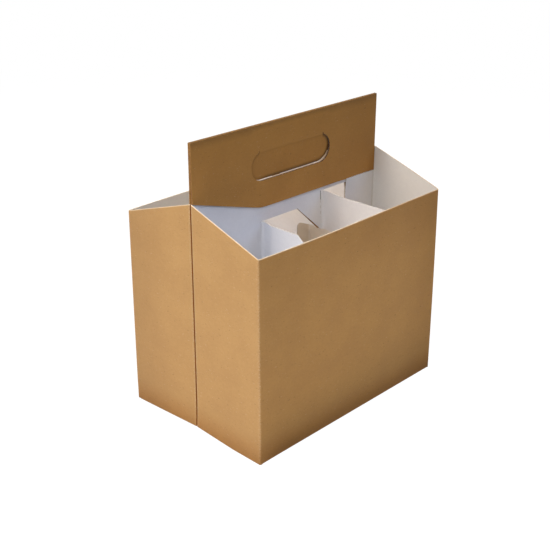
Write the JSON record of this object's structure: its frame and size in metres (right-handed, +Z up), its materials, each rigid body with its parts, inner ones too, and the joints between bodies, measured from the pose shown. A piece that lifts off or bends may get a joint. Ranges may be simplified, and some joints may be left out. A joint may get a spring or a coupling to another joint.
{
  "type": "bottle carrier",
  "caption": "Open-topped carrier of folded kraft board for bottles in two rows, with strap dividers, windowed middle wall and a reinforced handle with a finger flap.",
  "frame": {"origin": "middle of the base, on the surface the carrier stands on", "axes": "+X along the carrier and its handle, towards the end with the risers; +Y across the carrier; +Z up"},
  "size_m": [0.1943, 0.13, 0.214],
  "materials": {
    "kraft_board": "matte, brown outside and white inside",
    "flap_board": "matte brown"
  },
  "bodies": {
    "carton": {"carton": "kraft_board"},
    "finger_flap": {"finger_flap": "flap_board"}
  },
  "joints": [
    {"name": "finger_flap_crease", "type": "hinge", "parent": "carton", "child": "finger_flap", "pos_m": [0.0014, 0, 0.1947], "axis": [1, 0, 0], "range_deg": [-97.5, 82.5]}
  ]
}
